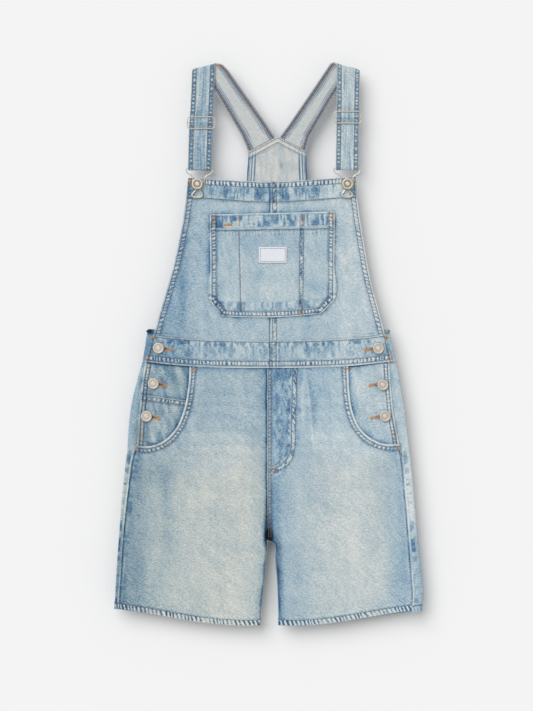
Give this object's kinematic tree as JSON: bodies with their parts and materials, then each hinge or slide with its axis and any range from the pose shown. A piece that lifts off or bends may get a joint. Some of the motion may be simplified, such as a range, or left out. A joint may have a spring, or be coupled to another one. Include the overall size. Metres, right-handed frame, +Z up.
{
  "type": "denim bib shortalls",
  "caption": "Light-wash denim bib shortalls laid flat, with folded shoulder straps, wire sliders and bib hooks, patch bib pocket and buttoned side openings.",
  "frame": {"origin": "middle of the garment's box, on the surface that it lies on", "axes": "+X to the viewer's right, +Y from the hems to the shoulders, +Z up out of the front"},
  "size_m": [0.4798, 0.8743, 0.0108],
  "materials": {
    "denim": "light-wash cotton denim, faded and matte",
    "denim_blue": "bluer light-wash denim with worn white edges",
    "inside": "pale weft side of the denim",
    "label": "smooth white woven label, left bare",
    "nickel": "warm antique nickel wire",
    "button": "antique nickel with plain turned rings"
  },
  "bodies": {
    "root": {"back_bib": "inside", "back_leg_left": "denim", "back_leg_right": "denim", "back_waistband": "denim", "bib_button_left": "button", "bib_button_right": "button", "bib_left": "denim_blue", "bib_pocket": "denim_blue", "bib_right": "denim_blue", "coin_pocket": "denim", "front_leg_left": "denim", "front_leg_right": "denim", "front_waistband_left": "denim_blue", "front_waistband_right": "denim_blue", "hook_left": "nickel", "hook_right": "nickel", "label": "label", "side_button_left_lower": "button", "side_button_left_upper": "button", "side_button_left_waist": "button", "side_button_right_lower": "button", "side_button_right_upper": "button", "side_button_right_waist": "button", "side_pocket_left": "denim", "side_pocket_right": "denim", "slider_left": "nickel", "slider_right": "nickel", "strap_left": "denim_blue", "strap_right": "denim_blue"}
  },
  "joints": []
}
